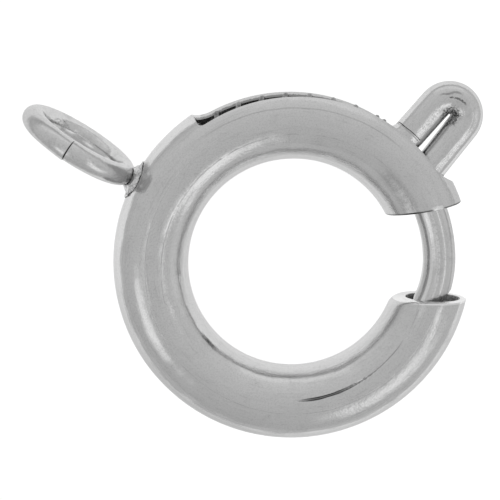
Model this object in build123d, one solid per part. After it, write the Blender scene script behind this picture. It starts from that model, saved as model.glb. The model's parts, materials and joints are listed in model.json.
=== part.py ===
from build123d import *
from math import acos, asin, atan2, cos, degrees, pi, radians, sin, sqrt
import os

# Spring ring clasp for a necklace or bracelet, lying flat.
# Origin at the centre of the ring, +Z along the ring's axis, +X through the open gap.
# Angles are degrees round the ring from +X, anticlockwise seen from +Z. Lengths are millimetres.

# Ring tube
ring_outer_diameter = 12.0
tube_outer_diameter = 2.5
tube_wall = 0.2
upper_mouth_angle = 23.0
lower_mouth_angle = -14.4
mouth_skew = 12.8  # how far each sawn mouth turns from radial, towards the other
lip_wall = 0.375  # the mouths are burnished in to a thicker rim
lip_offset = 0.13  # how much nearer the outer side the opening in the rim lies
lip_length = 0.45

# Slot in the outer side of the tube, for the thumb lever
slot_width = 1.7
slot_end_room = 0.35  # from the shut lever's leg on to the slot's round end
slot_square_end_angle = 124.0
slot_skew = 5.0  # how far the slot has turned towards +Z round the tube at its square end
slot_stations = 7  # cross-sections that the twisting slot is cut through

# Tongue and thumb lever, one bent wire
wire_diameter = 1.1
tongue_offset = 0.185  # how much nearer the outer wall the wire runs than the tube's centre
tip_bend_angle = 3.0  # where the last stretch begins to bend in
tip_bend_radius = 3.4
tip_insertion = 0.18  # past the lower mouth
tip_bevel_angle = 42.0
tip_bevel_width = 0.42
lever_angle = 40.8
lever_lean = 9.5
lever_height = 2.31  # from the tube's outside to the top of the fold
lever_fold_gap = 0.07
lever_foot_gap = 0.2
lever_foot_radius = 0.95
tail_length = 1.3
tail_chamfer = 0.12

# Return spring, a helix bent round inside the tube
spring_wire_diameter = 0.18
spring_wall_clearance = 0.08
spring_turns = 22
spring_stop_clearance = 0.02
spring_closed_pitch = 1.05  # wire diameters from turn to turn at the closed ends
spring_turn_steps = 12
spring_wire_sides = 6

# Dent punched in the back of the tube, which the spring pushes on
dent_angle = 232.0
dent_tool_radius = 0.5
dent_depth = 0.42

# Jump ring, and the solder that holds it
jump_ring_outer_diameter = 4.15
jump_ring_wire_diameter = 0.74
jump_ring_angle = 151.9
jump_ring_yaw = -4.9
jump_ring_roll = 4.7
jump_ring_seam_angle = 86.0
jump_ring_seam_gap = 0.03
solder_gap = 0.02
solder_foot_radius = 0.68
solder_neck_inset = 0.07  # how far inside the jump ring's wire the collar ends
solder_height = 0.4
solder_sag = 0.3  # share of the flank's width and height left at its middle

ring_radius = (ring_outer_diameter - tube_outer_diameter) / 2
tube_radius = tube_outer_diameter / 2
bore_radius = tube_radius - tube_wall
lip_bore_radius = tube_radius - lip_wall
wire_radius = wire_diameter / 2
tongue_radius = ring_radius + tongue_offset
fold_radius = wire_radius + lever_fold_gap / 2
overcut = 1.0  # how far cutting tools run past what they cut


def polar(radius, angle):
    return Vector(radius * cos(radians(angle)), radius * sin(radians(angle)), 0)


def angle_of(point):
    return degrees(atan2(point.Y, point.X))


def mouth_frame(mouth_angle, side):
    """Point on the tube's centre line, direction along the sawn face, and its normal into the tube."""
    along = polar(1, mouth_angle - side * mouth_skew)
    into_tube = polar(1, mouth_angle - side * mouth_skew + side * 90)
    return polar(ring_radius, mouth_angle), along, into_tube


def gap_wedge():
    """Block between the two sawn mouths."""
    upper, upper_along, _ = mouth_frame(upper_mouth_angle, 1)
    lower, lower_along, _ = mouth_frame(lower_mouth_angle, -1)
    reach = tube_radius + overcut
    outline = Polyline(
        upper - upper_along * reach,
        upper + upper_along * reach,
        lower + lower_along * reach,
        lower - lower_along * reach,
        close=True,
    )
    return extrude(make_face(outline), amount=reach, both=True)


# The thumb lever is a hairpin. Side -1 is the leg that leads to the tongue, side 1 the tail's.


def fold_centre():
    axis = polar(1, lever_angle + lever_lean)
    base = polar(tongue_radius, lever_angle)
    rise = ring_outer_diameter / 2 + lever_height - fold_radius - wire_radius - tongue_radius
    return base + axis * rise


def lever_leg(side):
    """Direction of a leg, its normal away from the other leg, and that line's distance from the origin."""
    spread = degrees(asin((lever_foot_gap - lever_fold_gap) / 2 / lever_height))
    along = polar(1, lever_angle + lever_lean - side * spread)
    away = polar(1, lever_angle + lever_lean - side * spread + side * 90)
    return along, away, away.dot(fold_centre()) + fold_radius


def foot_bend(side):
    """Centre of the bend that joins a leg to the wire in the tube, and the two points it joins."""
    along, away, distance = lever_leg(side)
    across = distance + lever_foot_radius
    reach = tongue_radius + lever_foot_radius
    centre = away * across + along * sqrt(reach**2 - across**2)
    on_leg = centre - away * lever_foot_radius
    on_tongue = centre * (tongue_radius / reach)
    return centre, on_leg, on_tongue


def foot_edge(side):
    centre, on_leg, on_tongue = foot_bend(side)
    middle = centre + ((on_leg - centre) + (on_tongue - centre)).normalized() * lever_foot_radius
    return ThreePointArc(on_tongue, middle, on_leg)


def tip_bend_centre():
    return polar(tongue_radius - tip_bend_radius, tip_bend_angle)


def tip_angle(depth):
    """Angle round the tip's bend at which the wire is this far past the lower mouth."""
    mouth, _, into_tube = mouth_frame(lower_mouth_angle, -1)
    reach = (mouth + into_tube * depth - tip_bend_centre()).dot(into_tube)
    return angle_of(into_tube) + degrees(acos(reach / tip_bend_radius))


def tongue_path():
    """Centre line of the bent wire, from past the lower mouth, up round the lever and into the spring."""
    _, foot, start = foot_bend(-1)
    _, tail_foot, tail_start = foot_bend(1)
    end_angle = tip_angle(tip_insertion + wire_radius)
    tip_end = tip_bend_centre() + polar(tip_bend_radius, end_angle)
    tip_middle = tip_bend_centre() + polar(tip_bend_radius, (end_angle + tip_bend_angle) / 2)
    tip_start = polar(tongue_radius, tip_bend_angle)
    middle = polar(tongue_radius, (tip_bend_angle + angle_of(start)) / 2)

    fold = fold_centre()
    fold_start = fold + lever_leg(-1)[1] * fold_radius
    fold_top = fold + polar(fold_radius, lever_angle + lever_lean)
    fold_end = fold + lever_leg(1)[1] * fold_radius

    tail_turn = degrees(tail_length / tongue_radius)
    tail_middle = tail_start.rotate(Axis.Z, tail_turn / 2)
    tail_end = tail_start.rotate(Axis.Z, tail_turn)
    return Wire(
        [
            ThreePointArc(tip_end, tip_middle, tip_start),
            ThreePointArc(tip_start, middle, start),
            foot_edge(-1),
            Line(foot, fold_start),
            ThreePointArc(fold_start, fold_top, fold_end),
            Line(fold_end, tail_foot),
            foot_edge(1),
            ThreePointArc(tail_start, tail_middle, tail_end),
        ]
    )


def tip_cutters():
    """Blocks that cut the tip level with the mouth and bevel its outer corner."""
    mouth, along, into_tube = mouth_frame(lower_mouth_angle, -1)
    size = 2 * tube_outer_diameter
    half_space = Box(size, size, size, align=(Align.CENTER, Align.CENTER, Align.MIN))
    level = Plane(origin=mouth + into_tube * tip_insertion, x_dir=along, z_dir=into_tube)
    out = polar(1, tip_angle(tip_insertion))
    corner = tip_bend_centre() + out * tip_bend_radius + along * (wire_radius / out.dot(along))
    bevel_normal = into_tube.rotate(Axis.Z, tip_bevel_angle)
    bevel = Plane(origin=corner - along * tip_bevel_width, x_dir=Vector(0, 0, 1), z_dir=bevel_normal)
    return level * half_space, bevel * half_space


def make_tongue():
    path = tongue_path()
    section = Plane(origin=path @ 0, z_dir=path % 0) * Circle(wire_radius)
    wire = sweep(section, path=path)
    level, bevel = tip_cutters()
    tail_face = wire.faces().filter_by(GeomType.PLANE).sort_by(Axis.Y)[-1]
    wire = chamfer(tail_face.edges(), tail_chamfer)
    wire = wire - level
    wire = wire - bevel
    return wire


def slot_end_angle():
    """Angle at the middle of the slot's round end, which leaves the shut lever's leg some room."""
    along, away, distance = lever_leg(-1)
    crossing = ring_outer_diameter / 2 - tube_wall / 2
    on_wall = away * distance + along * sqrt(crossing**2 - distance**2)
    back = (slot_width - wire_diameter) / 2 - slot_end_room
    return angle_of(on_wall) + degrees(back / crossing)


def slot_section(turn):
    """Wedge out from the tube's centre line, so that the slot's edges stand square to the wall."""
    half_angle = degrees(asin(slot_width / tube_outer_diameter))
    reach = (tube_radius + overcut) / cos(radians(half_angle))
    corners = [Vector(ring_radius, 0, 0)]
    for edge in (turn - half_angle, turn + half_angle):
        corners.append(Vector(ring_radius + reach * cos(radians(edge)), 0, reach * sin(radians(edge))))
    return make_face(Polyline(*corners, close=True))


def make_slot_cutter():
    start = slot_end_angle()
    sections = []
    for station in range(slot_stations):
        share = station / (slot_stations - 1)
        place = Rot(0, 0, start + (slot_square_end_angle - start) * share)
        sections.append(place * slot_section(slot_skew * share))
    drill = Cylinder(slot_width / 2, tube_radius + overcut, align=(Align.CENTER, Align.CENTER, Align.MIN))
    outward = Plane(origin=polar(ring_radius, start), z_dir=polar(1, start))
    return loft(sections) + outward * drill


def make_dent():
    """Tool sphere pressed into the back of the tube, and the bump that it raises inside."""
    sink = tube_radius + dent_tool_radius - dent_depth
    place = Pos(*polar(ring_radius, dent_angle)) * Pos(0, 0, -sink)
    return place * Sphere(dent_tool_radius), place * Sphere(dent_tool_radius + tube_wall)


def make_bore():
    """Inside of the tube between the two lips."""
    lip_turn = degrees(lip_length / ring_radius)
    start = upper_mouth_angle + lip_turn
    turn = 360 + lower_mouth_angle - lip_turn - start
    section = Plane.XZ * Pos(ring_radius, 0, 0) * Circle(bore_radius)
    return Rot(0, 0, start) * revolve(section, Axis.Z, revolution_arc=turn)


def make_ring_tube():
    tool, bump = make_dent()
    outside = Torus(ring_radius, tube_radius)
    lip_opening = Torus(ring_radius + lip_offset, lip_bore_radius)
    tube = outside - gap_wedge() - lip_opening - make_bore()
    tube = tube + (bump & outside)
    tube = tube - tool
    return tube - make_slot_cutter()


def make_spring():
    coil_radius = bore_radius - spring_wall_clearance - spring_wire_diameter / 2
    start = angle_of(foot_bend(1)[2])
    bump_radius = dent_tool_radius + tube_wall
    bump_height = tube_radius + dent_tool_radius - dent_depth - coil_radius
    bump_reach = sqrt(bump_radius**2 - bump_height**2) + spring_wire_diameter / 2 + spring_stop_clearance
    stop = dent_angle - degrees(bump_reach / ring_radius)
    closed_pitch = degrees(spring_wire_diameter * spring_closed_pitch / (ring_radius - coil_radius))
    open_pitch = (stop - start - 2 * closed_pitch) / (spring_turns - 2)
    points = []
    for step in range(spring_turns * spring_turn_steps + 1):
        turns = step / spring_turn_steps
        closed = min(turns, 1) + max(turns - spring_turns + 1, 0)
        along = start + closed * closed_pitch + (turns - closed) * open_pitch
        out = ring_radius + coil_radius * cos(2 * pi * turns)
        up = coil_radius * sin(2 * pi * turns)
        points.append(polar(out, along) + Vector(0, 0, up))
    path = Polyline(*points)
    wire = RegularPolygon(spring_wire_diameter / 2, spring_wire_sides)
    section = Plane(origin=path @ 0, z_dir=path % 0) * wire
    return sweep(section, path=path, transition=Transition.RIGHT)


def jump_ring_plane():
    """Frame of the jump ring: x out from the solder joint, z along its own axis."""
    foot = polar(ring_outer_diameter / 2 + solder_gap, jump_ring_angle)
    out = polar(1, jump_ring_angle + jump_ring_yaw)
    up = Vector(0, 0, 1).rotate(Axis((0, 0, 0), out), -jump_ring_roll)
    return Plane(origin=foot + out * (jump_ring_outer_diameter / 2), x_dir=out, z_dir=out.cross(up))


def whole_jump_ring():
    wire = jump_ring_wire_diameter / 2
    return jump_ring_plane() * Torus(jump_ring_outer_diameter / 2 - wire, wire)


def make_jump_ring():
    middle = (jump_ring_outer_diameter - jump_ring_wire_diameter) / 2
    gap = degrees(jump_ring_seam_gap / middle)
    section = Plane.XZ * Pos(middle, 0, 0) * Circle(jump_ring_wire_diameter / 2)
    wire = revolve(section, Axis.Z, revolution_arc=360 - gap)
    return jump_ring_plane() * Rot(0, 0, jump_ring_seam_angle + gap / 2) * wire


def make_solder():
    """Concave collar round the foot of the jump ring, run out onto the tube."""
    root = tube_radius / 2
    foot = (solder_foot_radius, 0, 0)
    neck_radius = jump_ring_wire_diameter / 2 - solder_neck_inset
    neck = (neck_radius, 0, solder_height)
    waist = neck_radius + (solder_foot_radius - neck_radius) * solder_sag
    flank = ThreePointArc(foot, (waist, 0, solder_height * solder_sag), neck)
    rest = Polyline(neck, (0, 0, solder_height), (0, 0, -root), (solder_foot_radius, 0, -root), foot)
    collar = revolve(make_face([flank, *rest.edges()]), Axis.Z)
    place = Plane(origin=polar(ring_outer_diameter / 2, jump_ring_angle), z_dir=polar(1, jump_ring_angle))
    return place * collar - Torus(ring_radius, tube_radius) - whole_jump_ring()


def main():
    os.makedirs("parts", exist_ok=True)
    nodes = {
        "ring_tube": make_ring_tube(),
        "tongue": make_tongue(),
        "spring": make_spring(),
        "jump_ring": make_jump_ring(),
        "solder_joint": make_solder(),
    }
    for name, shape in nodes.items():
        export_step(shape, f"parts/{name}.step")
        print(name, round(shape.volume, 4))


main()
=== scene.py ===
import bmesh
import bpy
import json
from math import acos, asin, atan2, cos, degrees, pi, radians, sin, sqrt
from mathutils import Matrix, Vector, noise


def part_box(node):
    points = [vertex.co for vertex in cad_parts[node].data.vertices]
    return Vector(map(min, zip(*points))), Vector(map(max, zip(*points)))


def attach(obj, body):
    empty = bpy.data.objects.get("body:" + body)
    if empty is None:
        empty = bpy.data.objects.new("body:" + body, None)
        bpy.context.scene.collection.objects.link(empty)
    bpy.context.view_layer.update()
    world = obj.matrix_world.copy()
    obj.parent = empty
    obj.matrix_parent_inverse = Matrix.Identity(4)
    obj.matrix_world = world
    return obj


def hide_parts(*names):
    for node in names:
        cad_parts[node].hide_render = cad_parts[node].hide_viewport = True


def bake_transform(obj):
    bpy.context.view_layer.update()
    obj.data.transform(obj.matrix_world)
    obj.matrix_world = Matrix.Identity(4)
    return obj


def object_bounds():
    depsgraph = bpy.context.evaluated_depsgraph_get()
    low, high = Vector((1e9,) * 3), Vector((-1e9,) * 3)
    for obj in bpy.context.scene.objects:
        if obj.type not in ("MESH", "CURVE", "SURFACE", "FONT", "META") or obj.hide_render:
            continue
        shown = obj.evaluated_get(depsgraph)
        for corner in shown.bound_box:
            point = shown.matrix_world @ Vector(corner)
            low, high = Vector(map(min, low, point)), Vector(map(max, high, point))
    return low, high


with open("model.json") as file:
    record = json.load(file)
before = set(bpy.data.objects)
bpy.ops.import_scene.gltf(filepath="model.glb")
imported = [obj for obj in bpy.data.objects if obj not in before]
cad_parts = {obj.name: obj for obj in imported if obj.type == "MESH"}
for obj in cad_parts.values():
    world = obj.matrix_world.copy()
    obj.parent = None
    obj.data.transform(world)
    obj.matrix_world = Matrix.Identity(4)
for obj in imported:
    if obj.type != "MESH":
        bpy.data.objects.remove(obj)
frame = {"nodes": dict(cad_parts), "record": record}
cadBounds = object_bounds()
mm = 0.001
collection = bpy.context.scene.collection
print("frame loaded")


# Node trees are written as sums: a Flow is one socket, and each sign on it adds a node.

class Flow:
    def __init__(self, graph, socket):
        self.graph = graph
        self.socket = socket

    def __add__(self, other):
        return self.graph.maths("ADD", self, other)

    def __sub__(self, other):
        return self.graph.maths("SUBTRACT", self, other)

    def __rsub__(self, other):
        return self.graph.maths("SUBTRACT", other, self)

    def __mul__(self, other):
        return self.graph.maths("MULTIPLY", self, other)

    def __truediv__(self, other):
        return self.graph.maths("DIVIDE", self, other)

    def __rtruediv__(self, other):
        return self.graph.maths("DIVIDE", other, self)

    __radd__ = __add__
    __rmul__ = __mul__


class Graph:
    def __init__(self, tree):
        self.tree = tree
        tree.nodes.clear()

    def add(self, kind, settings=None, inputs=None, output=0):
        node = self.tree.nodes.new(kind)
        for name, value in (settings or {}).items():
            setattr(node, name, value)
        for name, value in (inputs or {}).items():
            self.feed(node.inputs[name], value)
        return Flow(self, node.outputs[output]) if len(node.outputs) else node

    def feed(self, socket, value):
        if isinstance(value, Flow):
            self.tree.links.new(value.socket, socket)
        else:
            socket.default_value = value

    def maths(self, operation, *terms):
        return self.add("ShaderNodeMath", {"operation": operation}, dict(enumerate(terms)))

    def split(self, vector):
        return [self.add("ShaderNodeSeparateXYZ", {}, {0: vector}, axis) for axis in range(3)]

    def join(self, x, y, z):
        return self.add("ShaderNodeCombineXYZ", {}, {0: x, 1: y, 2: z})

    def grey(self, level):
        return self.add("ShaderNodeCombineColor", {}, {0: level, 1: level, 2: level})

    def ease(self, value, low, high, lowOut=0.0, highOut=1.0):
        settings = {"interpolation_type": "SMOOTHSTEP"}
        ends = {"Value": value, "From Min": low, "From Max": high, "To Min": lowOut, "To Max": highOut}
        return self.add("ShaderNodeMapRange", settings, ends)

    def band(self, value, low, high, soft):
        # 1 between low and high, easing to 0 over soft on each side
        return self.ease(value, low - soft, low + soft) * self.ease(value, high + soft, high - soft)

    def line(self, value, wide, sharp):
        # 1 where the value is near 0, easing to 0 at wide on each side
        return self.ease(self.maths("ABSOLUTE", value), wide, sharp)

    def size(self, x, y):
        return self.maths("SQRT", x * x + y * y)

    def bearing(self, y, x):
        return self.maths("ARCTAN2", y, x) * degrees(1)

    def dot(self, a, b):
        return self.add("ShaderNodeVectorMath", {"operation": "DOT_PRODUCT"}, {0: a, 1: b}, "Value")

    def noise(self, vector, scale, detail=2.0, rough=0.5):
        ends = {"Vector": vector, "Scale": scale, "Detail": detail, "Roughness": rough}
        return self.add("ShaderNodeTexNoise", {}, ends)


# Small helpers

def polar(radius, angle):
    return Vector((radius * cos(radians(angle)), radius * sin(radians(angle)), 0))


def angleOf(point):
    return degrees(atan2(point.y, point.x))


def meshObject(name, points, faces, edges=(), scale=mm):
    mesh = bpy.data.meshes.new(name)
    mesh.from_pydata([Vector(p) * scale for p in points], edges, faces)
    body = bpy.data.objects.new(name, mesh)
    collection.objects.link(body)
    return body


def cleanMesh(body, distance=0.0004):
    work = bmesh.new()
    work.from_mesh(body.data)
    bmesh.ops.remove_doubles(work, verts=work.verts, dist=distance * mm)
    bmesh.ops.dissolve_degenerate(work, edges=work.edges, dist=0.2 * distance * mm)
    bmesh.ops.recalc_face_normals(work, faces=work.faces)
    for face in work.faces:
        face.smooth = True
    work.to_mesh(body.data)
    work.free()


def addBevel(body, width, segments, angle):
    bevel = body.modifiers.new("edges", "BEVEL")
    bevel.width = width * mm
    bevel.segments = segments
    bevel.limit_method = "ANGLE"
    bevel.angle_limit = radians(angle)
    bevel.harden_normals = True
    bevel.use_clamp_overlap = True


def plainMesh(body):
    # turns a body and its modifiers into a plain mesh
    shown = body.evaluated_get(bpy.context.evaluated_depsgraph_get())
    mesh = bpy.data.meshes.new_from_object(shown)
    body.modifiers.clear()
    body.data = mesh


def paint(body, material):
    body.data.materials.clear()
    body.data.materials.append(material)


def finishPiece(body, bodyName, nodes):
    work = bmesh.new()
    work.from_mesh(body.data)
    loose = sum(1 for edge in work.edges if len(edge.link_faces) != 2)
    volume = round(work.calc_volume() / mm**3, 3)
    print(body.name, len(work.faces), "faces,", loose, "open edges,", volume, "cubic mm")
    work.free()
    if isinstance(bodyName, str):
        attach(body, bodyName)
    else:
        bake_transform(body)
    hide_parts(nodes)


# Geometry trees: named sizes go in, one finished piece comes out

def startTree(name, sizes):
    tree = bpy.data.node_groups.new(name, "GeometryNodeTree")
    tree.interface.new_socket("Guide", in_out="INPUT", socket_type="NodeSocketGeometry")
    for label, value in sizes.items():
        kind = "NodeSocketInt" if isinstance(value, int) else "NodeSocketFloat"
        tree.interface.new_socket(label, in_out="INPUT", socket_type=kind)
    tree.interface.new_socket("Metal", in_out="INPUT", socket_type="NodeSocketMaterial")
    tree.interface.new_socket("Piece", in_out="OUTPUT", socket_type="NodeSocketGeometry")
    graph = Graph(tree)
    entry = tree.nodes.new("NodeGroupInput")
    return graph, {socket.name: Flow(graph, socket) for socket in entry.outputs if socket.name}


def endTree(graph, curve, wire, sides, metal):
    # sweeps a round wire along the curve
    circle = graph.add("GeometryNodeCurvePrimitiveCircle", {}, {"Resolution": sides, "Radius": wire})
    ends = {"Curve": curve, "Profile Curve": circle, "Fill Caps": True}
    swept = graph.add("GeometryNodeCurveToMesh", {}, ends)
    smooth = graph.add("GeometryNodeSetShadeSmooth", {}, {"Geometry": swept})
    real = graph.add("GeometryNodeRealizeInstances", {}, {"Geometry": smooth})
    painted = graph.add("GeometryNodeSetMaterial", {}, {"Geometry": real, "Material": metal})
    graph.add("NodeGroupOutput", {}, {0: painted})


def growPiece(body, graph, sizes, metal):
    modifier = body.modifiers.new("build", "NODES")
    modifier.node_group = graph.tree
    values = dict(sizes, Metal=metal)
    for item in graph.tree.interface.items_tree:
        if item.in_out == "INPUT" and item.name in values:
            modifier[item.identifier] = values[item.name]
    plainMesh(body)


# Metals: a worn bright finish, with marks of its own for each piece, painted shade and painted highlights
# among them

ringRadius = -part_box("ring_tube")[0].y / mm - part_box("ring_tube")[1].z / mm
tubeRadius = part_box("ring_tube")[1].z / mm

finish = {
    # sizes of the noises, in turns a metre
    "wave": 520.0,
    "blotch": 1700.0,
    "grain": 11000.0,
    "fleck": 21000.0,
    "bumpHeight": 0.000022,
    "blotchShade": 0.05,
    "drawShade": 0.09,
    "flankHigh": 0.80,  # steeper than this, the metal is painted darker: a painted shade on its sides
    "flankLow": 0.56,
    "flankFloor": 0.35,  # share of that painted shade left on what stands upright
    "edgeTint": 0.75,
}


def makeMetal(name, marks, look):
    material = bpy.data.materials.new(name)
    material.use_nodes = True
    graph = Graph(material.node_tree)
    place = graph.add("ShaderNodeTexCoord", output="Object")
    wave = graph.noise(place, finish["wave"], 2.0)
    blotch = graph.noise(place, finish["blotch"], 3.0, 0.6)
    grain = graph.noise(place, finish["grain"], 2.0, 0.6)
    stainAndPaintedLight, scuff, dip, draw = marks(graph, place, blotch, grain)
    draw = graph.noise(draw, 1.0, 4.0, 0.7)
    fleck = graph.noise(place, finish["fleck"], 2.0, 0.7)
    shade = look["tone"] * (1 - look["fleck"] * graph.ease(fleck, 0.40, 0.78))
    shade = shade * (1 - finish["blotchShade"] * graph.ease(blotch, 0.5, 0.8))
    shade = shade * (1 - finish["drawShade"] * graph.ease(draw, 0.50, 0.72))
    # painted shade: the sides of each piece are painted darker by how steeply the surface stands
    normal = graph.add("ShaderNodeNewGeometry", output="Normal")
    steep = graph.maths("ABSOLUTE", graph.split(normal)[2])
    flank = graph.ease(steep, finish["flankHigh"], finish["flankLow"])
    flank = flank * graph.ease(steep, 0.0, 0.45, finish["flankFloor"], 1.0)
    shade = shade * (1 - stainAndPaintedLight) * (1 - look["flank"] * flank)
    dull = look["roughness"] + look["haze"] * graph.ease(wave, 0.4, 0.7) + look["haze"] * scuff
    height = wave * look["wave"] + blotch * 0.2 + draw * look["draw"]
    height = height + grain * (look["grain"] + 0.5 * scuff) - dip
    ends = {"Strength": 1.0, "Distance": finish["bumpHeight"], "Height": height}
    bump = graph.add("ShaderNodeBump", {}, ends)
    surface = graph.add("ShaderNodeBsdfPrincipled", {}, {
        "Base Color": graph.grey(shade),
        "Metallic": 1.0,
        "Roughness": dull,
        "Normal": bump,
        "Specular Tint": (finish["edgeTint"],) * 3 + (1,),
    })
    graph.add("ShaderNodeOutputMaterial", {}, {"Surface": surface})
    return material


def ringPlace(graph, place):
    # degrees round the ring, degrees round the tube, and lines drawn out along the tube
    x, y, z = graph.split(place)
    out = graph.size(x, y) / mm - ringRadius
    turn = graph.bearing(y, x)
    turn = turn + 360 * graph.maths("LESS_THAN", turn, 0.0)
    lift = graph.bearing(z / mm, out)
    return turn, lift, graph.join(turn / 14, out * 9, z / mm * 9)


# Ring tube: drawn tube with a slot, two burnished mouths, a seam, and a dent in its back

tube = {
    "wall": 0.2,
    "upperMouth": 23.0,
    "lowerMouth": -14.4,
    "mouthSkew": 12.8,
    "lipRadius": 0.875,
    "lipOffset": 0.13,
    "lipLength": 0.45,
    "lipStep": 0.12,
    "lipRound": 0.035,
    "edgeRound": 0.05,
    "rimRound": 0.05,
    "rimInnerRound": 0.2,  # more, on the inner side of the lower mouth
    "slotWidth": 1.77,
    "slotNominal": 1.7,  # the width that sets where the round end lies
    "slotEnd": 124.0,
    "slotSkew": 6.5,
    "slotTwist": 1.5,  # the slot turns out of line more and more quickly
    "skewFade": 90.0,  # degrees past the slot over which the rows turn back into line
    "slotFade": 35.0,  # degrees round the tube that the rows follow the slot for, and the seam
    "seamFade": 25.0,
    "slotDirtAndShade": 0.11,  # depth from which the slot's walls are painted dark, with dirt and painted shade
    "slotRoom": 0.35,  # from the lever's leg on to the round end
    "slotCorner": 0.2,  # corners of the square end, above and below
    "slotFarCorner": 0.55,
    "slotRows": 10,
    "slotLean": 0.3,  # degrees the round end slopes back through the wall, clear of the lever's leg
    "mouthStep": 3.0,  # degrees from the upper mouth to where the stations begin
    "wallRows": 84,
    "seamLift": 106.5,  # the seam wanders about this angle round the tube
    "seamSway": 3.5,
    "seamMiddle": 296.0,
    "seamPace": 1.7,
    "streakStart": 270.0,
    "streakEnd": 322.0,
    "streakDepth": 0.035,
    "dentAngle": 232.0,
    "dentRadius": 0.5,
    "dentDepth": 0.42,
    "paintedLightPatches": [
        # painted shade and painted highlights: from, to and softness round the ring, the same round the
        # tube, and how much darker (or less)
        (212.0, 264.0, 14.0, -41.0, 41.0, 7.0, 0.16),
        (12.0, 40.0, 6.0, -41.0, 41.0, 7.0, 0.12),
        (118.0, 190.0, 12.0, -41.0, 41.0, 7.0, -0.16),
        (-20.0, 380.0, 5.0, -168.0, -105.0, 10.0, 0.2),
        (8.0, 46.0, 6.0, 104.0, 126.0, 6.0, 0.28),
        (30.0, 200.0, 12.0, 139.0, 148.0, 3.0, 0.16),
        (30.0, 200.0, 12.0, 121.0, 135.0, 4.0, -0.09),
        (220.0, 325.0, 12.0, 134.0, 147.0, 4.0, -0.22),
    ],
}

boreRadius = tubeRadius - tube["wall"]
slotFull = degrees(asin(tube["slotWidth"] / 2 / tubeRadius))  # half of the slot's angle round the tube


def mouthPlane(side):
    # direction into the tube and distance from the origin, for the upper mouth (1) or the lower (-1)
    angle = tube["upperMouth"] if side > 0 else tube["lowerMouth"]
    into = angle - side * tube["mouthSkew"] + side * 90
    return into, polar(ringRadius, angle).dot(polar(1, into))


# Tongue: one wire, bent to the ring's curve and folded to a thumb lever

tongue = {
    "wire": 0.55,
    "offset": 0.185,
    "tipBendAngle": 3.0,
    "tipBendRadius": 3.4,
    "tipInsertion": 0.18,
    "tipBevelAngle": 42.0,
    "tipBevelWidth": 0.42,
    "leverAngle": 40.8,
    "leverLean": 9.5,
    "leverHeight": 2.31,
    "foldGap": 0.07,
    "footGap": 0.2,
    "footRadius": 0.95,
    "tailLength": 1.3,
    "edgeRound": 0.035,
    "sides": 64,
    "creaseShade": 0.65,  # how much darker, or brighter, its marks, painted shade and painted highlights are
    "knotShade": 0.5,
    "legFootShade": 0.2,
    "lineShade": 0.3,
    "paintedLegShine": 0.25,
    "lineHighlight": 0.22,
}

wireReach = ringRadius + tongue["offset"]
foldRadius = tongue["wire"] + tongue["foldGap"] / 2
leverTurn = tongue["leverAngle"] + tongue["leverLean"]
foldCentre = polar(wireReach, tongue["leverAngle"]) + polar(1, leverTurn) * (
    ringRadius + tubeRadius + tongue["leverHeight"] - foldRadius - tongue["wire"] - wireReach
)


def leverLeg(side):
    # direction of a leg, its normal away from the other leg, and that line's distance from the origin
    spread = degrees(asin((tongue["footGap"] - tongue["foldGap"]) / 2 / tongue["leverHeight"]))
    turn = leverTurn - side * spread
    away = polar(1, turn + side * 90)
    return turn, away, away.dot(foldCentre) + foldRadius


def footBend(side):
    # centre of the bend at a leg's foot, and where it meets the leg and the wire in the tube
    turn, away, distance = leverLeg(side)
    across = distance + tongue["footRadius"]
    reach = wireReach + tongue["footRadius"]
    centre = away * across + polar(1, turn) * sqrt(reach**2 - across**2)
    return centre, centre - away * tongue["footRadius"], centre * (wireReach / reach)


def slotEndAngle():
    turn, away, distance = leverLeg(-1)
    crossing = ringRadius + tubeRadius - tube["wall"] / 2
    onWall = away * distance + polar(1, turn) * sqrt(crossing**2 - distance**2)
    back = (tube["slotNominal"] - 2 * tongue["wire"]) / 2 - tube["slotRoom"]
    return angleOf(onWall) + degrees(back / crossing)


slotStart = slotEndAngle()


def seamAt(turn):
    sway = sin(radians((turn - tube["seamMiddle"]) * tube["seamPace"]))
    return tube["seamLift"] + tube["seamSway"] * sway


def streakAt(turn):
    # the seam opens to a dark streak for part of its length
    share = (turn - tube["streakStart"]) / (tube["streakEnd"] - tube["streakStart"])
    if share <= 0 or share >= 1:
        return 0.0
    return min(share / 0.15, 1.0) * min((1 - share) / 0.7, 1.0)


def fromMouth(graph, x, y, side):
    # depth into the tube from the plane of a mouth
    into, distance = mouthPlane(side)
    inward = polar(1 / mm, into)
    return x * inward.x + y * inward.y - distance


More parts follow.
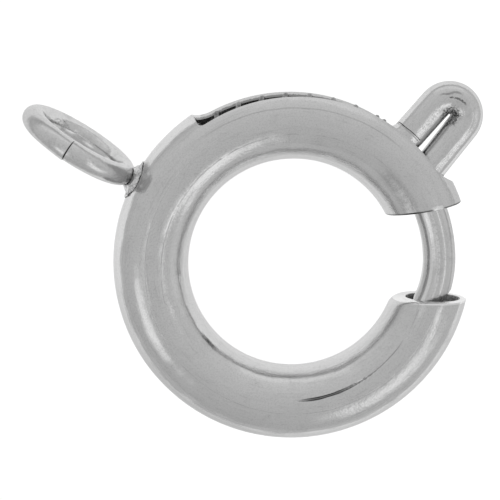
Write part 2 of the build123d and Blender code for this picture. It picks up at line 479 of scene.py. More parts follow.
def tubeMarks(graph, place, blotch, grain):
    turn, lift, drawn = ringPlace(graph, place)
    wander = (blotch - 0.5) * 5
    # the seam: a dark streak where it has opened, a thin line beyond, and hairlines elsewhere
    start, end = tube["streakStart"], tube["streakEnd"]
    sway = graph.maths("SINE", (turn - tube["seamMiddle"]) * (tube["seamPace"] * radians(1)))
    apart = graph.maths("ABSOLUTE", lift - tube["seamLift"] - sway * tube["seamSway"] + wander * 0.4)
    opened = graph.ease(turn, start - 2, start + 8) * graph.ease(turn, end + 2, start + 16)
    whole = graph.maths("MAXIMUM", graph.ease(turn, end - 16, start + 18), graph.ease(grain, 0.46, 0.56))
    streak = graph.ease(apart / (0.5 + 1.9 * opened), 1.25, 0.6) * opened * whole
    thin = graph.ease(apart, 1.3, 0.4) * graph.band(turn, start + 18, end + 2, 5.0)
    hair = graph.ease(apart, 1.1, 0.2) * graph.ease(blotch, 0.38, 0.6)
    hair = hair * (graph.band(turn, 44.0, 205.0, 8.0) * 0.16 + graph.band(turn, 330.0, 345.0, 6.0) * 0.1)
    # two lines from the drawing of the tube
    drawLine = graph.line(lift - 83.5 + wander * 0.5, 0.9, 0.2) * graph.band(turn, 118.0, 334.0, 6.0)
    drawLine = drawLine * graph.ease(blotch, 0.35, 0.55) * 0.13
    sideLine = graph.line(lift - 67.5 - wander * 0.5, 1.7, 0.3) * graph.band(turn, 52.0, 121.0, 6.0) * 0.2
    # dirt and painted shade on the slot's walls, darker deeper in
    x, y, z = graph.split(place)
    out = graph.size(x, y) / mm - ringRadius
    deep = tubeRadius - tube["slotDirtAndShade"] + (grain - 0.5) * 0.1
    dirtAndShade = graph.ease(graph.size(out, z / mm) - deep, 0.02, -0.02) * graph.band(turn, 31.0, 127.0, 1.5)
    stainAndPaintedLight = graph.maths("MAXIMUM", 0.68 * streak, 0.36 * thin) + hair + drawLine + sideLine + 0.6 * dirtAndShade
    # painted shade and painted highlights, patch by patch
    for first, last, soft, low, high, blur, amount in tube["paintedLightPatches"]:
        stainAndPaintedLight = stainAndPaintedLight + amount * graph.band(turn, first, last, soft) * graph.band(lift, low, high, blur)
    # the mouths: painted shade along the upper one's edge with one painted glint, and a painted highlight
    # round the lower one's rim
    upper, lower = (fromMouth(graph, x, y, side) for side in (1, -1))
    paintedGlint = graph.band(out + wander * 0.02, 0.16, 0.52, 0.06) * graph.ease(upper, 0.16, 0.10)
    edgeShade = graph.ease(upper + wander * 0.004, 0.075, 0.03) * (1 - paintedGlint)
    atUpper = graph.band(turn, 5.0, 45.0, 3.0)
    # painted highlight on the lower mouth's rim
    rim = graph.ease(lower, 0.08, 0.05) * graph.ease(turn, 320.0, 330.0)
    stainAndPaintedLight = stainAndPaintedLight + atUpper * (0.75 * edgeShade - 0.32 * paintedGlint) - 0.36 * rim
    stainAndPaintedLight = stainAndPaintedLight + 0.10 * graph.ease(blotch, 0.58, 0.72) * graph.ease(grain, 0.5, 0.7)
    worn = graph.band(turn, 16.0, 52.0, 8.0) * graph.ease(blotch, 0.4, 0.6)
    shoulder = graph.band(turn, 285.0, 335.0, 10.0) * graph.band(lift, 58.0, 84.0, 4.0)
    scuff = 0.3 * worn + 0.8 * shoulder + 0.35 * graph.band(lift, 110.0, 128.0, 6.0)
    dip = 0.9 * streak + hair * 2 + drawLine * 2
    return stainAndPaintedLight, scuff, dip, drawn


tubeMetal = makeMetal("tubeMetal", tubeMarks, {
    "tone": 0.80, "roughness": 0.10, "haze": 0.09, "wave": 4.0,
    "draw": 0.2, "grain": 0.08, "fleck": 0.15, "flank": 0.28,
})


def boreMarks(graph, place, blotch, grain):
    turn, lift, drawn = ringPlace(graph, place)
    return 0.4 * graph.ease(grain, 0.4, 0.6), 0.5 + 0.5 * grain, 0.2 * blotch, drawn


shadedBoreMetal = makeMetal("shadedBoreMetal", boreMarks, {
    "tone": 0.60, "roughness": 0.5, "haze": 0.15, "wave": 1.0,
    "draw": 0.3, "grain": 0.2, "fleck": 0.3, "flank": 0.0,
})


def paintBore(body):
    # the inside was never polished, and is a second, rougher finish on the same piece, its tone also
    # painted darker as shade inside the tube
    body.data.materials.append(shadedBoreMetal)
    for face in body.data.polygons:
        place = face.center / mm
        turn = angleOf(place)
        out = place.xy.length - ringRadius
        outward = face.normal.dot(polar(out, turn)) + face.normal.z * place.z
        reach = sqrt(out**2 + place.z**2)
        if -outward > 0.35 * reach and reach < tubeRadius - tube["wall"] / 2:
            face.material_index = 1


def mouthTurn(side, depth, reach):
    into, distance = mouthPlane(side)
    return into - side * degrees(acos((distance + depth) / reach))


def tubePoint(turn, lift, radius):
    reach = ringRadius + radius * cos(radians(lift))
    return polar(reach, turn) + Vector((0, 0, radius * sin(radians(lift))))


def mouthPoint(side, depth, lift, radius):
    reach = ringRadius + radius * cos(radians(lift))
    return tubePoint(mouthTurn(side, depth, reach), lift, radius)


def lipReach(lift):
    offset = tube["lipOffset"]
    return offset * cos(radians(lift)) + sqrt(tube["lipRadius"] ** 2 - (offset * sin(radians(lift))) ** 2)


def rimAt(side, lift):
    inner = max(0.0, -cos(radians(lift))) ** 2 if side < 0 else 0.0
    return tube["rimRound"] + tube["rimInnerRound"] * inner


def mouthLine(side, lift):
    # from the outer surface round the rim and the lip to the bore
    rim = rimAt(side, lift)
    lip = lipReach(lift)
    edge = tube["lipRound"]
    stations = []
    for step in range(1, 6):
        bend = radians(90 * step / 5)
        stations.append((rim * (1 - sin(bend)), tubeRadius - rim * (1 - cos(bend))))
    for share in (0.25, 0.5, 0.75):
        stations.append((0.0, (tubeRadius - rim) * (1 - share) + (lip + edge) * share))
    for step in range(5):
        bend = radians(90 * step / 4)
        stations.append((edge * (1 - cos(bend)), lip + edge * (1 - sin(bend))))
    for depth in (0.15, 0.3, tube["lipLength"]):
        stations.append((depth, lip))
    stations.append((tube["lipLength"] + tube["lipStep"], boreRadius))
    return [mouthPoint(side, depth, lift, radius) for depth, radius in stations]


def skewAt(turn):
    share = (turn - slotStart) / (tube["slotEnd"] - slotStart)
    if share > 1:
        share = max(0.0, 1 - (turn - tube["slotEnd"]) / tube["skewFade"])
    return tube["slotSkew"] * max(share, 0.0) ** tube["slotTwist"]


def slotHalf(turn):
    # half of the slot's angle round the tube, or 0 where there is no slot
    if turn > tube["slotEnd"]:
        return 0.0
    if turn >= slotStart:
        return slotFull
    half = 0.0
    for _ in range(30):
        side = (ringRadius + tubeRadius * cos(radians(half))) * sin(radians(slotStart - turn))
        left = (tube["slotWidth"] / 2) ** 2 - side**2
        if left <= 0:
            return 0.0
        half = degrees(asin(sqrt(left) / tubeRadius))
    return half


def roundCorner(turn, rel):
    # eases what lies round a corner of the slot's square end on to a round corner
    side = rel - 360 if rel > 180 else rel
    corner = tube["slotCorner"] if side > 0 else tube["slotFarCorner"]
    turnSize = degrees(corner / (ringRadius + 0.8 * tubeRadius))
    liftSize = degrees(corner / tubeRadius)
    along = (turn - tube["slotEnd"]) / turnSize + 1
    across = (abs(side) - slotFull) / liftSize + 1
    if along <= 0 or across <= 0:
        return turn, rel
    far = max(along, across)
    fade = min(1.0, max(0.0, 1 - (far - 1) / 2))
    shrink = 1 + (far / sqrt(along**2 + across**2) - 1) * fade
    newSide = slotFull + (across * shrink - 1) * liftSize
    newRel = newSide if side >= 0 else -newSide
    return tube["slotEnd"] + (along * shrink - 1) * turnSize, newRel + (360 if rel > 180 else 0)


def wallPoint(turn, rel, radius):
    turn, rel = roundCorner(turn, rel)
    return tubePoint(turn, rowLift(rel, turn), radius)


def rowLift(rel, turn):
    # rows follow the slot's skew beside it, and the seam where it runs
    fromSlot = max(0.0, min(rel, 360 - rel) - slotFull)
    fromSeam = abs(rel - tube["seamLift"])
    bySlot = skewAt(turn) * max(0.0, 1 - fromSlot / tube["slotFade"])
    bySeam = (seamAt(turn) - tube["seamLift"]) * max(0.0, 1 - fromSeam / tube["seamFade"])
    return rel + bySlot + bySeam


def slide(rel, radius, depth, turn, tip):
    # on the rows beyond the slot, stations start clear of the skewed mouth
    away = min(1.0, max(0.0, min(rel, 360 - rel) - slotFull) / 30)
    begin = mouthTurn(1, depth, ringRadius + radius * cos(radians(rel)))
    start = tip + away * (begin + tube["mouthStep"] - tip)
    level = 60  # from this turn on, stations are as even as on the other rows
    return start + (turn - tip) * (level - start) / (level - tip) if turn < level else turn


def leanAt(turn, radius, tip):
    share = min(1.0, max(0.0, (slotStart - turn) / (slotStart - tip)))
    return tube["slotLean"] * share * (tubeRadius - radius) / tube["wall"]


def shapePoint(point, radius):
    # sinks the seam's streak into the outside, and presses the dent into the back
    turn = angleOf(point) % 360
    out = point.xy.length - ringRadius
    if radius > tubeRadius - 0.01:
        lift = degrees(atan2(point.z, out))
        near = 1 - abs(lift - seamAt(turn)) / 1.9
        if near > 0:
            point = point - (polar(cos(radians(lift)), turn) + Vector((0, 0, sin(radians(lift))))) * (
                tube["streakDepth"] * streakAt(turn) * min(near * 1.6, 1.0)
            )
    if point.z < 0:
        centre = polar(ringRadius, tube["dentAngle"])
        across = (point.xy - centre.xy).length
        reach = tube["dentRadius"] + (tubeRadius - radius)
        if across < reach:
            sink = tubeRadius + tube["dentRadius"] - tube["dentDepth"]
            floor = -sink + sqrt(reach**2 - across**2)
            blend = 0.03
            lifted = 0.5 * (point.z + floor + sqrt((floor - point.z) ** 2 + blend**2) - blend)
            point = Vector((point.x, point.y, max(point.z, lifted)))
    return point


def buildTube():
    tip = slotStart - degrees(asin(tube["slotWidth"] / 2 / (ringRadius + tubeRadius)))
    roundTurns = [slotStart - (slotStart - tip) * cos(pi / 2 * i / 14) for i in range(15)]
    straightTurns = [slotStart + (tube["slotEnd"] - slotStart) * i / 80 for i in range(81)]
    plainCount = 190
    startCount = 7
    boreDepth = tube["lipLength"] + tube["lipStep"]
    points = []
    faces = []

    def addGrid(grid):
        first = len(points)
        columns = len(grid[0])
        for row in grid:
            points.extend(row)
        for r in range(len(grid) - 1):
            for c in range(columns - 1):
                a = first + r * columns + c
                faces.append((a, a + 1, a + columns + 1, a + columns))

    def shaped(line, radius):
        return [shapePoint(point, radius) for point in line]

    def startZone(rel, radius, depth):
        reach = ringRadius + radius * cos(radians(rel))
        begin = mouthTurn(1, depth, reach)
        last = slide(rel, radius, depth, tip, tip) - leanAt(tip, radius, tip)
        turns = [begin + (last - begin) * i / startCount for i in range(startCount + 1)]
        return [tubePoint(turn, rowLift(rel, turn), radius) for turn in turns]

    def plainZone(rel, radius, depth):
        # past the slot's square end, down to the lower mouth
        line = []
        for i in range(plainCount + 1):
            end = 360 + mouthTurn(-1, depth, ringRadius + radius * cos(radians(rel)))
            turn = tube["slotEnd"] + (end - tube["slotEnd"]) * i / plainCount
            line.append(wallPoint(turn, rel, radius))
        return line

    def slotZone(rel, radius, depth):
        line = []
        for station in roundTurns[1:] + straightTurns[1:]:
            turn = slide(rel, radius, depth, station, tip) - leanAt(station, radius, tip)
            line.append(wallPoint(turn, rel, radius))
        return line

    # the wall beside the slot, one closed loop of points a row
    grid = []
    lifts = [slotFull + (360 - 2 * slotFull) * i / tube["wallRows"] for i in range(tube["wallRows"] + 1)]
    lifts = [lift for lift in lifts if not 1.91 <= abs(lift - tube["seamLift"]) <= 2.6]
    lifts = sorted(lifts + [tube["seamLift"] + step for step in (-1.9, -1.2, -0.6, 0.0, 0.6, 1.2, 1.9)])
    for rel in lifts:
        line = startZone(rel, tubeRadius, rimAt(1, rel)) + slotZone(rel, tubeRadius, rimAt(1, rel))
        line += plainZone(rel, tubeRadius, rimAt(-1, rel))[1:]
        line = shaped(line, tubeRadius) + mouthLine(-1, rel)
        back = startZone(rel, boreRadius, boreDepth) + slotZone(rel, boreRadius, boreDepth)
        back += plainZone(rel, boreRadius, boreDepth)[1:-1]
        line += reversed(shaped(back, boreRadius)[1:])
        line += reversed(mouthLine(1, rel))
        line.append(line[0])
        grid.append(line)
    addGrid(grid)

    # the strip across the slot's width, at the upper mouth and round the slot's round end
    for sign in (1, -1):
        grid = []
        for row in range(tube["slotRows"] + 1):
            share = row / tube["slotRows"]
            lift = sign * slotFull * share
            outer = startZone(lift, tubeRadius, tube["rimRound"])
            inner = startZone(lift, boreRadius, boreDepth)
            for turn in roundTurns[1:]:
                half = slotHalf(turn)
                bent = sign * (half + (slotFull - half) * share)
                outer.append(tubePoint(turn, bent, tubeRadius))
                inner.append(tubePoint(turn - leanAt(turn, boreRadius, tip), bent, boreRadius))
            grid.append(list(reversed(outer)) + mouthLine(1, lift) + inner)
        addGrid(grid)
        edge = [sign * slotHalf(turn) for turn in roundTurns]
        for level in range(3):
            low = tubeRadius - tube["wall"] * level / 3
            high = tubeRadius - tube["wall"] * (level + 1) / 3
            pairs = list(zip(roundTurns, edge))
            addGrid([[tubePoint(t - leanAt(t, r, tip), lift, r) for t, lift in pairs] for r in (low, high)])

    # the strip in line with the slot from its square end to the lower mouth
    grid = []
    for row in range(2 * tube["slotRows"] + 1):
        lift = -slotFull + slotFull * row / tube["slotRows"]
        line = plainZone(lift, tubeRadius, rimAt(-1, lift)) + mouthLine(-1, lift)
        line += reversed(plainZone(lift, boreRadius, boreDepth)[:-1])
        grid.append(line)
    addGrid(grid)

    # the slot's long edges and its square end
    levels = [tubeRadius - tube["wall"] * i / 3 for i in range(4)]
    for sign in (1, -1):
        addGrid([[wallPoint(t, sign * slotFull, r) for t in straightTurns] for r in levels])
    ends = [-slotFull + slotFull * row / tube["slotRows"] for row in range(2 * tube["slotRows"] + 1)]
    addGrid([[wallPoint(tube["slotEnd"], rel, r) for rel in ends] for r in levels])

    body = meshObject("ringTube", points, faces)
    cleanMesh(body)
    addBevel(body, tube["edgeRound"], 3, 50)
    plainMesh(body)
    return body


ringTube = buildTube()
paint(ringTube, tubeMetal)
paintBore(ringTube)
finishPiece(ringTube, "ring_body", "ring_tube")
print("ring tube built")


def arc(centre, first, last, step):
    # points on a level arc from first to last, the shorter way round
    start = angleOf(first - centre)
    turn = (angleOf(last - centre) - start + 180) % 360 - 180
    count = max(2, round(abs(turn) / step))
    radius = (first - centre).length
    return [centre + polar(radius, start + turn * i / count) for i in range(count + 1)]


def tonguePath():
    origin = Vector((0, 0, 0))
    into, distance = mouthPlane(-1)
    tipCentre = polar(wireReach - tongue["tipBendRadius"], tongue["tipBendAngle"])
    depth = tongue["tipInsertion"] + tongue["wire"]
    reach = distance + depth - tipCentre.dot(polar(1, into))
    tipTurn = into + degrees(acos(reach / tongue["tipBendRadius"]))
    tipEnd = tipCentre + polar(tongue["tipBendRadius"], tipTurn)
    tipStart = polar(wireReach, tongue["tipBendAngle"])
    centre, onLeg, onRing = footBend(-1)
    tailCentre, tailOnLeg, tailOnRing = footBend(1)
    foldStart = foldCentre + leverLeg(-1)[1] * foldRadius
    foldEnd = foldCentre + leverLeg(1)[1] * foldRadius
    foldTop = foldCentre + polar(foldRadius, leverTurn)
    tailEnd = polar(wireReach, angleOf(tailOnRing) + degrees(tongue["tailLength"] / wireReach))
    runs = [
        arc(tipCentre, tipEnd, tipStart, 2.0),
        arc(origin, tipStart, onRing, 1.0),
        arc(centre, onRing, onLeg, 4.0),
        [onLeg.lerp(foldStart, i / 24) for i in range(25)],
        arc(foldCentre, foldStart, foldTop, 4.0),
        arc(foldCentre, foldTop, foldEnd, 4.0),
        [foldEnd.lerp(tailOnLeg, i / 24) for i in range(25)],
        arc(tailCentre, tailOnLeg, tailOnRing, 4.0),
        arc(origin, tailOnRing, tailEnd, 1.5),
    ]
    points = []
    for run in runs:
        for point in run:
            if not points or (point - points[-1]).length > 0.004:
                points.append(point)
    return points


def tongueMarks(graph, place, blotch, grain):
    x, y, z = graph.split(place)
    turn, lift, drawn = ringPlace(graph, place)
    aim = polar(1, leverTurn)
    left = x / mm - foldCentre.x
    up = y / mm - foldCentre.y
    along = left * aim.x + up * aim.y
    across = up * aim.x - left * aim.y
    fromFold = graph.size(left, up)
    psi = graph.bearing(up, left)
    wander = (blotch - 0.5) * 0.16
    # wrinkles on the inside of the fold, dipped and painted darker as shade
    crease = graph.line(fromFold - 0.61 + wander, 0.05, 0.015) * graph.band(psi, 38.0, 104.0, 5.0)
    crease = crease * graph.ease(grain, 0.40, 0.55)
    outer = graph.line(fromFold - 0.76 + wander * 1.5, 0.05, 0.015)
    outer = outer * graph.band(psi, 66.0, 118.0, 8.0) * 0.4
    # painted shade in the knot at the inside of the fold
    knot = graph.ease(fromFold, 0.40, 0.16) * graph.ease(grain + wander, 0.40, 0.62)
    ray = graph.maths("SINE", (psi + wander * 120) * (2.5 * radians(1)))
    knot = knot + graph.ease(fromFold, 0.42, 0.25) * graph.line(ray, 0.28, 0.08) * 0.5
    # painted shade where the tail's leg goes down into the slot
    high = graph.size(x, y) / mm
    edgeShade = graph.line(high - 5.83 + wander * 0.5, 0.05, 0.02) * graph.ease(across, 0.2, 0.35)
    stainAndPaintedLight = tongue["creaseShade"] * crease + outer + tongue["knotShade"] * knot
    stainAndPaintedLight = stainAndPaintedLight + tongue["legFootShade"] * edgeShade + 0.06 * graph.ease(blotch, 0.55, 0.7)
    # painted highlights and scuffs along both legs, the second one on round the fold
    legShineAndScuff = graph.band(across, 0.25, 0.58, 0.05) * graph.band(along, -1.75, -0.1, 0.12)
    worn = graph.ease(grain, 0.30, 0.55)
    otherLegShineAndScuff = graph.line(across + 0.83 + wander * 0.5, 0.10, 0.04) * graph.band(along, -1.7, 0.0, 0.2)
    inFold = graph.line(fromFold - 0.83 + wander * 0.5, 0.07, 0.02) * graph.band(psi, -40.0, 10.0, 12.0)
    otherLegShineAndScuff = otherLegShineAndScuff + inFold * graph.ease(along, -0.05, 0.05)
    stainAndPaintedLight = stainAndPaintedLight - tongue["paintedLegShine"] * legShineAndScuff * worn - tongue["paintedLegShine"] * otherLegShineAndScuff * worn
    # painted reflection lines along the tongue, light and dark, and painted shade on its flanks: aside is
    # how far out across the wire, on round the bend at its tip
    inGap = graph.ease(high, 5.6, 5.4)
    tipCentre = polar(wireReach - tongue["tipBendRadius"], tongue["tipBendAngle"])
    bent = graph.size(x / mm - tipCentre.x, y / mm - tipCentre.y) - tongue["tipBendRadius"]
    inTip = graph.maths("LESS_THAN", graph.bearing(y, x), tongue["tipBendAngle"])
    aside = bent * inTip + (high - wireReach) * (1 - inTip) + wander * 0.15
    dark = graph.line(aside + 0.385, 0.03, 0.01) * graph.ease(blotch, 0.3, 0.45)
    flanks = 0.34 * graph.band(aside, -0.53, -0.41, 0.02) + 0.2 * graph.ease(aside, 0.33, 0.4)
    flanks = flanks - tongue["lineHighlight"] * graph.band(aside, -0.37, -0.27, 0.02)
    paintedLineHighlight = graph.line(aside - 0.13, 0.035, 0.0) * graph.ease(blotch, 0.25, 0.42)
    paintedLineHighlight = paintedLineHighlight + graph.line(aside + 0.07, 0.045, 0.01) * graph.ease(grain, 0.38, 0.5)
    stainAndPaintedLight = stainAndPaintedLight + inGap * (tongue["lineShade"] * dark + flanks - tongue["lineHighlight"] * paintedLineHighlight)
    scuff = legShineAndScuff + 0.5 * otherLegShineAndScuff + 0.4 * inGap * graph.band(high, 4.9, 5.15, 0.04) + 0.5 * outer
    dip = 1.2 * crease + outer + knot + edgeShade
    lever = 1 - inGap
    drawn = graph.join(
        turn / 14 * inGap + along * 1.5 * lever,
        high * 9 * inGap + across * 9 * lever,
        z / mm * 9,
    )
    return stainAndPaintedLight, scuff, dip, drawn


tongueMetal = makeMetal("tongueMetal", tongueMarks, {
    "tone": 0.80, "roughness": 0.10, "haze": 0.12, "wave": 3.0,
    "draw": 0.24, "grain": 0.10, "fleck": 0.14, "flank": 0.22,
})


def buildTongue():
    points = tonguePath()
    body = meshObject("tongueWire", points, [], [(i, i + 1) for i in range(len(points) - 1)])
    sizes = {"Wire Radius": tongue["wire"] * mm, "Sides": tongue["sides"]}
    graph, ends = startTree("tongueTree", sizes)
    curve = graph.add("GeometryNodeMeshToCurve", {}, {"Mesh": ends["Guide"]})
    endTree(graph, curve, ends["Wire Radius"], ends["Sides"], ends["Metal"])
    growPiece(body, graph, sizes, tongueMetal)
    cleanMesh(body)

    # the tip is cut level with the mouth, and bevelled at its outer corner
    into, distance = mouthPlane(-1)
    inward = polar(1, into)
    along = polar(1, into + 90)
    tipCentre = polar(wireReach - tongue["tipBendRadius"], tongue["tipBendAngle"])
    level = distance + tongue["tipInsertion"]
    reach = level - tipCentre.dot(inward)
    out = polar(1, into + degrees(acos(reach / tongue["tipBendRadius"])))
    corner = tipCentre + out * tongue["tipBendRadius"] + along * (tongue["wire"] / out.dot(along))
    cuts = [
        (inward * level, inward),
        (corner - along * tongue["tipBevelWidth"], polar(1, into + tongue["tipBevelAngle"])),
    ]
    work = bmesh.new()
    work.from_mesh(body.data)
    for place, normal in cuts:
        parts = work.verts[:] + work.edges[:] + work.faces[:]
        bmesh.ops.bisect_plane(work, geom=parts, plane_co=place * mm, plane_no=normal, clear_outer=True)
        rims = [edge for edge in work.edges if edge.is_boundary]
        bmesh.ops.holes_fill(work, edges=rims)
    bmesh.ops.recalc_face_normals(work, faces=work.faces)
    work.to_mesh(body.data)
    work.free()
    addBevel(body, tongue["edgeRound"], 3, 35)
    plainMesh(body)
    return body


tongueWire = buildTongue()
paint(tongueWire, tongueMetal)
finishPiece(tongueWire, "tongue_body", "tongue")
print("tongue bent")


# Spring: round wire wound inside the tube, closed at both ends

spring = {
    "wire": 0.09,
    "wallClearance": 0.11,
    "turns": 22,
    "turnSteps": 28,
    "sides": 8,
    "closedPitch": 1.05,
    "stopClearance": 0.02,
}


def springMarks(graph, place, blotch, grain):
    turn, lift, drawn = ringPlace(graph, place)
    stainAndPaintedLight = 0.35 * graph.ease(blotch, 0.42, 0.62) + 0.2 * graph.ease(grain, 0.5, 0.62)
    return stainAndPaintedLight, 0.6 + 0.4 * blotch, 0.3 * grain, drawn


# the spring's steel is duller, and its tone is also painted darker as shade for where it lies inside the
# tube
springMetal = makeMetal("springWire", springMarks, {
    "tone": 0.44, "roughness": 0.3, "haze": 0.12, "wave": 1.0,
    "draw": 0.2, "grain": 0.25, "fleck": 0.3, "flank": 0.3,
})


def buildSpring():
    coil = boreRadius - spring["wallClearance"] - spring["wire"]
    start = angleOf(footBend(1)[2])
    bump = tube["dentRadius"] + tube["wall"]
    rise = tubeRadius + tube["dentRadius"] - tube["dentDepth"] - coil
    room = sqrt(bump**2 - rise**2) + spring["wire"] + spring["stopClearance"]
    stop = tube["dentAngle"] - degrees(room / ringRadius)
    sizes = {
        "Turns": spring["turns"],
        "Steps": spring["turnSteps"],
        "Coil Radius": coil * mm,
        "Ring Radius": ringRadius * mm,
        "Start": radians(start),
        "Stop": radians(stop),
        "Closed Pitch": 2 * spring["wire"] * spring["closedPitch"] / (ringRadius - coil),
        "Wire Radius": spring["wire"] * mm,
        "Sides": spring["sides"],
    }
    graph, ends = startTree("springTree", sizes)
    count = ends["Turns"] * ends["Steps"] + 1
    line = graph.add("GeometryNodeCurvePrimitiveLine")
    evenly = graph.add("GeometryNodeResampleCurve", {}, {"Curve": line, "Count": count})
    turns = graph.add("GeometryNodeInputIndex") / ends["Steps"]
    closed = graph.maths("MINIMUM", turns, 1.0) + graph.maths("MAXIMUM", turns - ends["Turns"] + 1, 0.0)
    openPitch = (ends["Stop"] - ends["Start"] - 2 * ends["Closed Pitch"]) / (ends["Turns"] - 2)
    along = ends["Start"] + closed * ends["Closed Pitch"] + (turns - closed) * openPitch
    wind = turns * (2 * pi)
    reach = ends["Ring Radius"] + ends["Coil Radius"] * graph.maths("COSINE", wind)
    spot = graph.join(
        reach * graph.maths("COSINE", along),
        reach * graph.maths("SINE", along),
        ends["Coil Radius"] * graph.maths("SINE", wind),
    )
    helix = graph.add("GeometryNodeSetPosition", {}, {"Geometry": evenly, "Position": spot})
    endTree(graph, helix, ends["Wire Radius"], ends["Sides"], ends["Metal"])
    body = meshObject("returnSpring", [(0, 0, 0)], [])
    growPiece(body, graph, sizes, springMetal)
    cleanMesh(body)
    return body, polar(ringRadius, stop) * mm, polar(ringRadius, start) * mm


returnSpring, springStop, springFree = buildSpring()
finishPiece(returnSpring, ("ring_body", "tongue_body", springStop, springFree), "spring")
print("spring wound")


# Jump ring: round wire with its two ends butted, the seam a little out of line

jumpRing = {
    "wire": 0.37,
    "outerRadius": 2.075,
    "seamAngle": 86.0,
    "seamGap": 0.012,
    "seamStep": 0.03,  # how far one end stands proud of the other, easing out over seamReach degrees
    "seamReach": 30.0,
    "seamShade": 0.06,
    "edgeRound": 0.02,
    "steps": 160,
    "sides": 44,
}

eye = next(mount for mount in frame["record"]["mounts"] if mount["name"] == "jump_ring_eye")
eyeCentre = Vector(eye["pos_m"]) / mm
eyeAxis = Vector(eye["axis"]).normalized()
eyeOut = Vector((-eyeAxis.y, eyeAxis.x, 0)).normalized()
eyeUp = eyeAxis.cross(eyeOut)


def jumpRingMarks(graph, place, blotch, grain):
    ends = {0: place, 1: tuple(eyeCentre * mm)}
    local = graph.add("ShaderNodeVectorMath", {"operation": "SUBTRACT"}, ends)
    out = graph.dot(local, tuple(eyeOut))
    up = graph.dot(local, tuple(eyeUp))
    side = graph.dot(local, tuple(eyeAxis)) / mm
    turn = graph.bearing(up, out)
    reach = graph.size(out, up) / mm
    notch = graph.line(turn - jumpRing["seamAngle"], 2.0, 0.8) * jumpRing["seamShade"]
    stainAndPaintedLight = notch + 0.09 * graph.ease(blotch, 0.5, 0.66)
    worn = graph.band(reach, 1.62, 1.9, 0.08) * graph.ease(blotch, 0.42, 0.58)
    return stainAndPaintedLight, 0.5 * worn, notch, graph.join(turn / 9, reach * 9, side * 9)


jumpRingMetal = makeMetal("jumpRingMetal", jumpRingMarks, {
    "tone": 0.80, "roughness": 0.12, "haze": 0.10, "wave": 4.0,
    "draw": 0.24, "grain": 0.10, "fleck": 0.16, "flank": 0.25,
})


def buildJumpRing():
    middle = jumpRing["outerRadius"] - jumpRing["wire"]
    gap = jumpRing["seamGap"] / middle
    sizes = {
        "Steps": jumpRing["steps"],
        "Radius": middle * mm,
        "Start": radians(jumpRing["seamAngle"]) + gap / 2,
        "Sweep": 2 * pi - gap,
        "Wire Radius": jumpRing["wire"] * mm,
        "Sides": jumpRing["sides"],
    }
    graph, ends = startTree("jumpRingTree", sizes)
    bend = graph.add("GeometryNodeCurveArc", {}, {
        "Resolution": ends["Steps"],
        "Radius": ends["Radius"],
        "Start Angle": ends["Start"],
        "Sweep Angle": ends["Sweep"],
    })
    endTree(graph, bend, ends["Wire Radius"], ends["Sides"], ends["Metal"])
    body = meshObject("jumpRing", [(0, 0, 0)], [])
    growPiece(body, graph, sizes, jumpRingMetal)
    cleanMesh(body)
    for vertex in body.data.vertices:
        past = (jumpRing["seamAngle"] - angleOf(vertex.co)) % 360
        vertex.co.z -= jumpRing["seamStep"] * mm * max(0.0, 1 - past / jumpRing["seamReach"]) ** 2
    turn = Matrix((eyeOut, eyeUp, eyeAxis)).transposed().to_4x4()
    body.data.transform(Matrix.Translation(eyeCentre * mm) @ turn)
    addBevel(body, jumpRing["edgeRound"], 3, 50)
    plainMesh(body)
    return body


linkRing = buildJumpRing()
finishPiece(linkRing, "ring_body", "jump_ring")
print("jump ring bent")


# Solder: the CAD collar, gone grainy as it froze

solder = {
    "voxel": 0.022,
    "lump": 0.045,
    "lumpPace": 4.5,  # in turns a millimetre
    "grain": 0.022,
    "grainPace": 16,
    "sink": 0.01,
    "pits": 16000.0,  # in turns a metre
    "pitShade": 0.30,
}


def solderMarks(graph, place, blotch, grain):
    x, y, z = graph.split(place)
    spread = graph.join(x / mm * 4, y / mm * 4, z / mm * 4)
    pits = graph.noise(place, solder["pits"], 3.0, 0.6)
    stainAndPaintedLight = solder["pitShade"] * graph.ease(pits, 0.52, 0.68) + 0.10 * graph.ease(blotch, 0.5, 0.7) - 0.15
    return stainAndPaintedLight, 0.6 * blotch, 0.8 * graph.ease(pits, 0.5, 0.7), spread


solderMetal = makeMetal("solderMetal", solderMarks, {
    "tone": 0.84, "roughness": 0.20, "haze": 0.14, "wave": 2.0,
    "draw": 0.4, "grain": 0.5, "fleck": 0.2, "flank": 0.1,
})


def buildSolder():
    body = bpy.data.objects.new("solderCollar", frame["nodes"]["solder_joint"].data.copy())
    collection.objects.link(body)
    cleanMesh(body)
    remesh = body.modifiers.new("freeze", "REMESH")
    remesh.mode = "VOXEL"
    remesh.voxel_size = solder["voxel"] * mm
    plainMesh(body)
    smooth = body.modifiers.new("flow", "SMOOTH")
    smooth.iterations = 2
    plainMesh(body)
    work = bmesh.new()
    work.from_mesh(body.data)
    work.normal_update()
    for vertex in work.verts:
        place = vertex.co / mm
        lump = noise.noise(place * solder["lumpPace"]) * solder["lump"]
        rough = noise.noise(place * solder["grainPace"]) * solder["grain"]
        vertex.co += vertex.normal * (lump + rough - solder["sink"]) * mm
    for face in work.faces:
        face.smooth = True
    work.to_mesh(body.data)
    work.free()
    return body


solderCollar = buildSolder()
paint(solderCollar, solderMetal)
finishPiece(solderCollar, "ring_body", "solder_joint")
print("solder run")


# Floor, light and camera

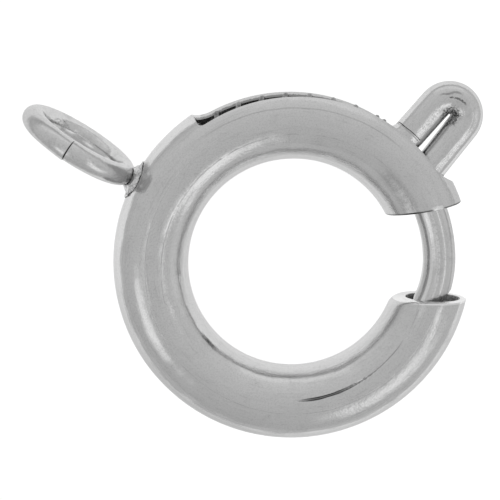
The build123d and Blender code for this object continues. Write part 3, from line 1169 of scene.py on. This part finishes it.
studio = {
    "floorGlow": 0.78,
    "floorTone": 0.5,
    "floorFar": 0.52,
    "floorNear": 0.08,
    "floorSize": 0.25,  # in metres from the middle to an edge
    "fadeStart": 13.2,
    "fadeEnd": 19.5,
    "frontReach": -0.1,
    "shadow": 0.6,  # how much of the floor's light goes under the ring
    "frontAngle": 258.0,
    "dome": 0.545,
    "backGlow": 0.08,
    "backAngle": 80.0,
    "boxGlow": 0.10,
    "box": (52.0, 120.0, -8.0, 22.0),  # bearings and heights that it lies between
    "lamps": [
        # bearing, degrees from overhead, inner and outer radius in degrees, power
        (305, 52, 5.0, 22.0, 0.46),
        (214, 47, 4.0, 19.0, 0.42),
        (326, 36, 3.0, 10.0, 0.32),
        (322, 65, 2.0, 8.0, 0.40),
    ],
    "slits": [
        # gaps in the tent: degrees from overhead, bearing, half its length in degrees, power
        (37.5, 346, 28, 0.50),
        (21.5, 204, 28, 0.45),
    ],
}


def makeFloor():
    low, high = cadBounds
    size = studio["floorSize"]
    corners = [(-size, -size, 0), (size, -size, 0), (size, size, 0), (-size, size, 0)]
    floor = meshObject("floor", corners, [(0, 1, 2, 3)], scale=1.0)
    floor.data.transform(Matrix.Translation((0, 0, low.z - 0.01 * mm)))
    material = bpy.data.materials.new("floorPaper")
    material.use_nodes = True
    graph = Graph(material.node_tree)
    x, y, z = graph.split(graph.add("ShaderNodeTexCoord", output="Object"))
    front = polar(1 / mm, studio["frontAngle"])
    ahead = x * front.x + y * front.y
    aside = y * front.x - x * front.y
    # a painted pool of light on the floor, brightest round the ring and fading to grey far off
    away = graph.size(ahead / graph.ease(ahead, 0.0, 10.0, 1.0, 1 + studio["frontReach"]), aside)
    fade = graph.ease(away, studio["fadeStart"], studio["fadeEnd"], 1.0, studio["floorFar"])
    fade = fade + studio["floorNear"] * graph.ease(away, studio["fadeStart"], 5.0)
    reach = graph.size(x, y) / mm
    turn = graph.bearing(y, x)
    # a painted shadow on the floor under the ring, left out between the mouths
    under = graph.band(reach, 4.35, 5.4, 0.5) * (1 - graph.band(turn, -28.0, 40.0, 7.0))
    fade = fade * (1 - studio["shadow"] * under)
    glow = graph.add("ShaderNodeEmission", {}, {"Color": graph.grey(studio["floorGlow"] * fade)})
    paper = graph.add("ShaderNodeBsdfDiffuse", {}, {"Color": graph.grey(studio["floorTone"] * fade)})
    both = graph.add("ShaderNodeAddShader", {}, {0: glow, 1: paper})
    graph.add("ShaderNodeOutputMaterial", {}, {"Surface": both})
    paint(floor, material)


def makeLight():
    world = bpy.data.worlds.new("softTent")
    bpy.context.scene.world = world
    world.use_nodes = True
    graph = Graph(world.node_tree)
    aim = graph.add("ShaderNodeTexCoord", output="Generated")
    x, y, z = graph.split(aim)
    height = graph.maths("ARCSINE", z) * degrees(1)
    bearing = graph.bearing(y, x)
    bearing = bearing + 360 * graph.maths("LESS_THAN", bearing, 0.0)
    folds = graph.noise(aim, 1.6, 2.0)
    ripple = graph.noise(aim, 5.0, 3.0, 0.6)
    back = polar(studio["backGlow"], studio["backAngle"])
    light = (studio["dome"] + x * back.x + y * back.y) * (0.90 + 0.20 * folds) * (0.95 + 0.10 * ripple)
    left, right, low, high = studio["box"]
    box = graph.band(height, low, high, 1.5) * graph.band(bearing, left, right, 3.0)
    light = light + studio["boxGlow"] * box
    for azimuth, fromTop, inner, outer, power in studio["lamps"]:
        centre = polar(sin(radians(fromTop)), azimuth) + Vector((0, 0, cos(radians(fromTop))))
        apart = graph.maths("ARCCOSINE", graph.dot(aim, tuple(centre))) * degrees(1)
        apart = apart + (ripple - 0.5) * 16
        light = light + power * graph.ease(apart, outer, inner)
    for fromTop, azimuth, reach, power in studio["slits"]:
        across = graph.maths("ABSOLUTE", 90 - height - fromTop)
        along = graph.maths("ABSOLUTE", graph.maths("WRAP", bearing - azimuth, 180.0, -180.0))
        light = light + power * graph.ease(across, 1.6, 0.7) * graph.ease(along, reach, reach - 10)
    background = graph.add("ShaderNodeBackground", {}, {"Color": (1, 1, 1, 1), "Strength": light})
    graph.add("ShaderNodeOutputWorld", {}, {"Surface": background})


def makeCamera():
    view = {"tilt": 9.5, "toward": 110.8, "distance": 47.5, "lens": 101.95, "shift": (-0.0862, 0.026)}
    data = bpy.data.cameras.new("camera")
    data.lens = view["lens"]
    data.sensor_width = 36
    data.shift_x, data.shift_y = view["shift"]
    data.clip_start = 0.001
    data.clip_end = 10
    camera = bpy.data.objects.new("camera", data)
    collection.objects.link(camera)
    axis = Vector((-sin(radians(view["toward"])), cos(radians(view["toward"])), 0))
    lean = Matrix.Rotation(radians(view["tilt"]), 4, axis)
    camera.matrix_world = lean @ Matrix.Translation((0, 0, view["distance"] * mm))
    bpy.context.scene.camera = camera


makeFloor()
makeLight()
makeCamera()
bpy.context.scene.view_settings.view_transform = "Standard"
print("studio set")
